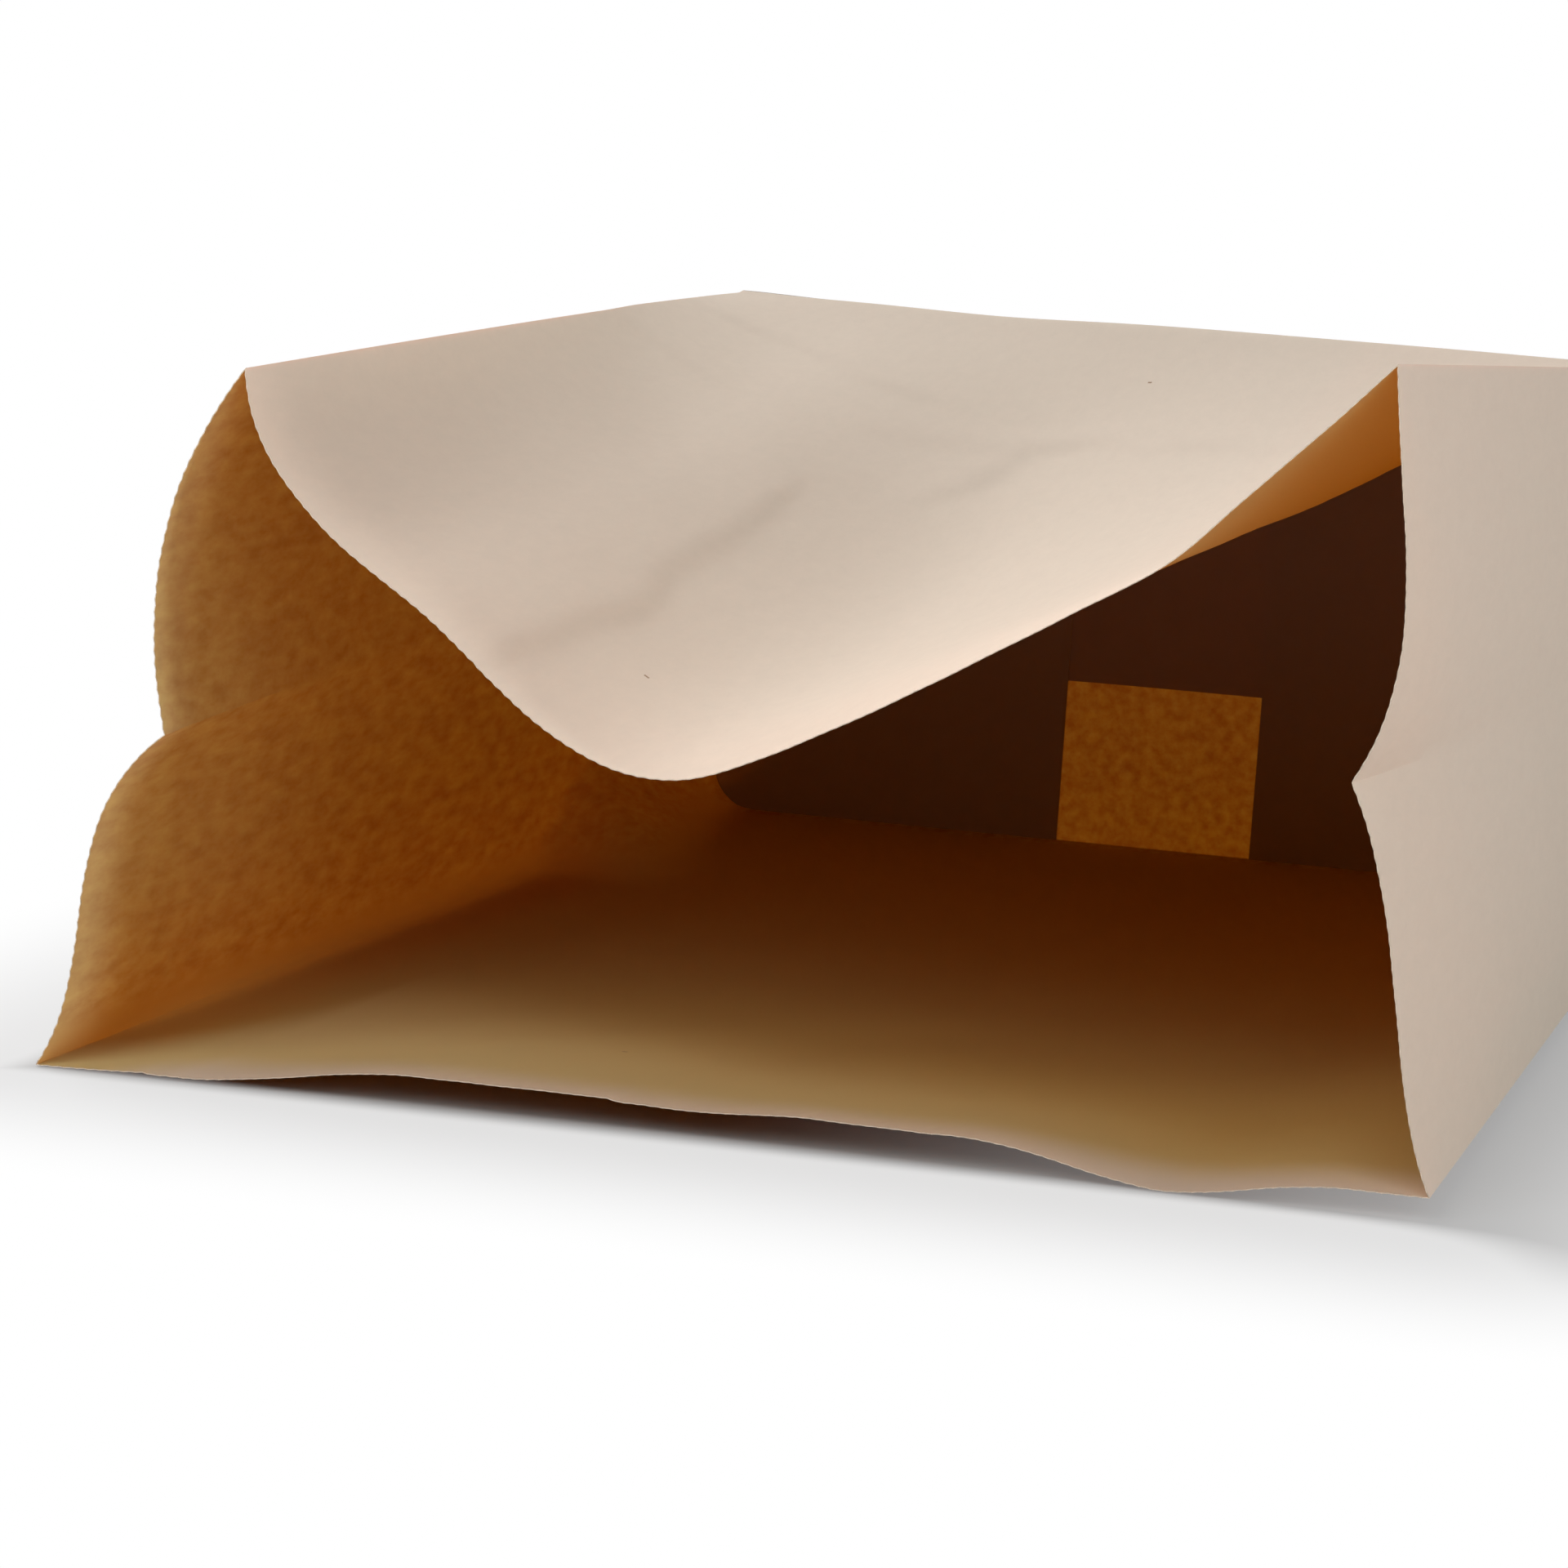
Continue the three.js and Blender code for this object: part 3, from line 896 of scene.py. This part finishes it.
def thicken(piece):
    """A sheet of paper with its outer face where it is now, an inner face and a rim."""
    bpy.context.view_layer.objects.active = piece
    solid = piece.modifiers.new("paper", "SOLIDIFY")
    solid.thickness = PAPER * MM
    solid.offset = -1.0
    solid.use_even_offset = True
    solid.material_offset = 1
    solid.material_offset_rim = 2
    bpy.ops.object.modifier_apply(modifier=solid.name)


bpy.ops.object.mode_set(mode="EDIT")
bpy.ops.mesh.select_mode(type="VERT")
bpy.ops.mesh.select_all(action="SELECT")
bpy.ops.mesh.remove_doubles(threshold=SAME_PLACE)
bpy.ops.mesh.normals_make_consistent(inside=False)
bpy.ops.object.mode_set(mode="OBJECT")
lowest = np.argmin([face.center.z for face in bag.data.polygons])
print("floor face looks", "down" if bag.data.polygons[int(lowest)].normal.z < 0 else "up")
thicken(bag)
print("tube:", len(bag.data.polygons), "faces")

# %% [markdown]
# ## The folded bottom
#
# The gusset ends fold in first and become two tucks. The panels' corners fold with them at 45 degrees, and
# the front and back flaps come over both. Where the tucks do not meet and only one flap lies, a lit square
# shows from inside. A texture could paint it, but here the layers are real sheets, one behind the other. All
# but the last have glue on them and let hardly any light by, so the square shows by itself. All their inner
# faces are painted a darker brown, as painted shade far inside the bag. Each layer is a small grid whose
# corners are pulled to the shape of the fold.

# %% One layer of the bottom
LAYER_COLUMNS, LAYER_ROWS = 22, 14
SWELL, SLANTED_SWELL, SHORT_SWELL = 0.9, 0.5, 0.3


def bottom_swell(x, z):
    """The bottom is not quite flat: it swells in the middle and waves a little."""
    inner = np.sin(np.pi * (x + HALF) / PANEL) * np.sin(np.pi * z / GUSSET)
    slanted_waves, short_waves = np.sin(x / 21 + z / 34), np.sin(z / 13 - x / 47)
    return inner * (SWELL + SLANTED_SWELL * slanted_waves + SHORT_SWELL * short_waves)


def bottom_layer(name, corners, depth, inner):
    """A layer from its corners (x, z), the first two on its fold, and its depth in layers."""
    bpy.ops.object.select_all(action="DESELECT")
    bpy.ops.mesh.primitive_grid_add(x_subdivisions=LAYER_COLUMNS, y_subdivisions=LAYER_ROWS, size=1.0)
    piece = bpy.context.object
    piece.name = name
    for finish in (outside, inner, edge):
        piece.data.materials.append(finish)
    grid = points_of(piece.data)[:, :2] + 0.5
    first, second, third, fourth = (at(*corner) for corner in corners)
    near = blend(first, second, grid[:, :1])
    far = blend(fourth, third, grid[:, :1])
    flat = blend(near, far, grid[:, 1:])
    depths = BODY + depth * LAYER + bottom_swell(flat[:, 0], flat[:, 1])
    places = np.column_stack((flat[:, 0], depths, flat[:, 1]))
    places[:, 2] += settle(places)
    set_points(piece.data, places)
    bpy.ops.object.mode_set(mode="EDIT")
    bpy.ops.mesh.select_all(action="SELECT")
    bpy.ops.mesh.remove_doubles(threshold=SAME_PLACE)
    bpy.ops.object.mode_set(mode="OBJECT")
    if piece.data.polygons[0].normal.y < 0:
        piece.data.flip_normals()
    thicken(piece)
    return piece


print("layers are", LAYER, "mm apart")

# %% Lay the tucks, corner folds and flaps
LEFT_TUCK, RIGHT_TUCK = 83.8, 90.9
FLAP = 82.6
TUCK_DEPTH, UPPER_DEPTH, LOWER_DEPTH = 0, 1, 1.5


def side_layers(side, reach):
    """A gusset's end and the two panel corners that fold in with it."""
    end, outer = side * (HALF - reach), side * HALF
    tuck = [(outer, 0), (outer, GUSSET), (end, GUSSET), (end, 0)]
    upper = [(outer, GUSSET), (end, GUSSET), (end, GUSSET - reach), (outer, GUSSET)]
    lower = [(outer, 0), (end, 0), (end, reach), (outer, 0)]
    return [
        bottom_layer("tuck", tuck, TUCK_DEPTH, glued_painted_shade),
        bottom_layer("upper_corner", upper, UPPER_DEPTH, glued_painted_shade),
        bottom_layer("lower_corner", lower, LOWER_DEPTH, glued_painted_shade),
    ]


flap_end = HALF - FLAP
front_flap = [(-HALF, GUSSET), (HALF, GUSSET), (flap_end, GUSSET - FLAP), (-flap_end, GUSSET - FLAP)]
back_flap = [(-HALF, 0), (HALF, 0), (flap_end, FLAP), (-flap_end, FLAP)]
layers = side_layers(-1, LEFT_TUCK) + side_layers(1, RIGHT_TUCK)
layers.append(bottom_layer("front_flap", front_flap, FRONT_DEPTH, glued_painted_shade))
layers.append(bottom_layer("back_flap", back_flap, BACK_DEPTH, bottom_inside))
print("layers:", len(layers), "and the tucks leave a gap of", round(PANEL - LEFT_TUCK - RIGHT_TUCK, 1), "mm")

# %% Join the layers to the tube
CREASE_ANGLE = math.radians(32)

bpy.ops.object.select_all(action="DESELECT")
for piece in layers:
    piece.select_set(True)
bag.select_set(True)
bpy.context.view_layer.objects.active = bag
bpy.ops.object.join()
bpy.ops.object.shade_smooth_by_angle(angle=CREASE_ANGLE)
triangles = sum(len(face.vertices) - 2 for face in bag.data.polygons)
print("bag:", triangles, "triangles, finishes", [slot.name for slot in bag.material_slots])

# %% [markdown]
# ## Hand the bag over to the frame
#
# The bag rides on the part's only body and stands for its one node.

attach(bag, "root")
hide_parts("paper_bag")
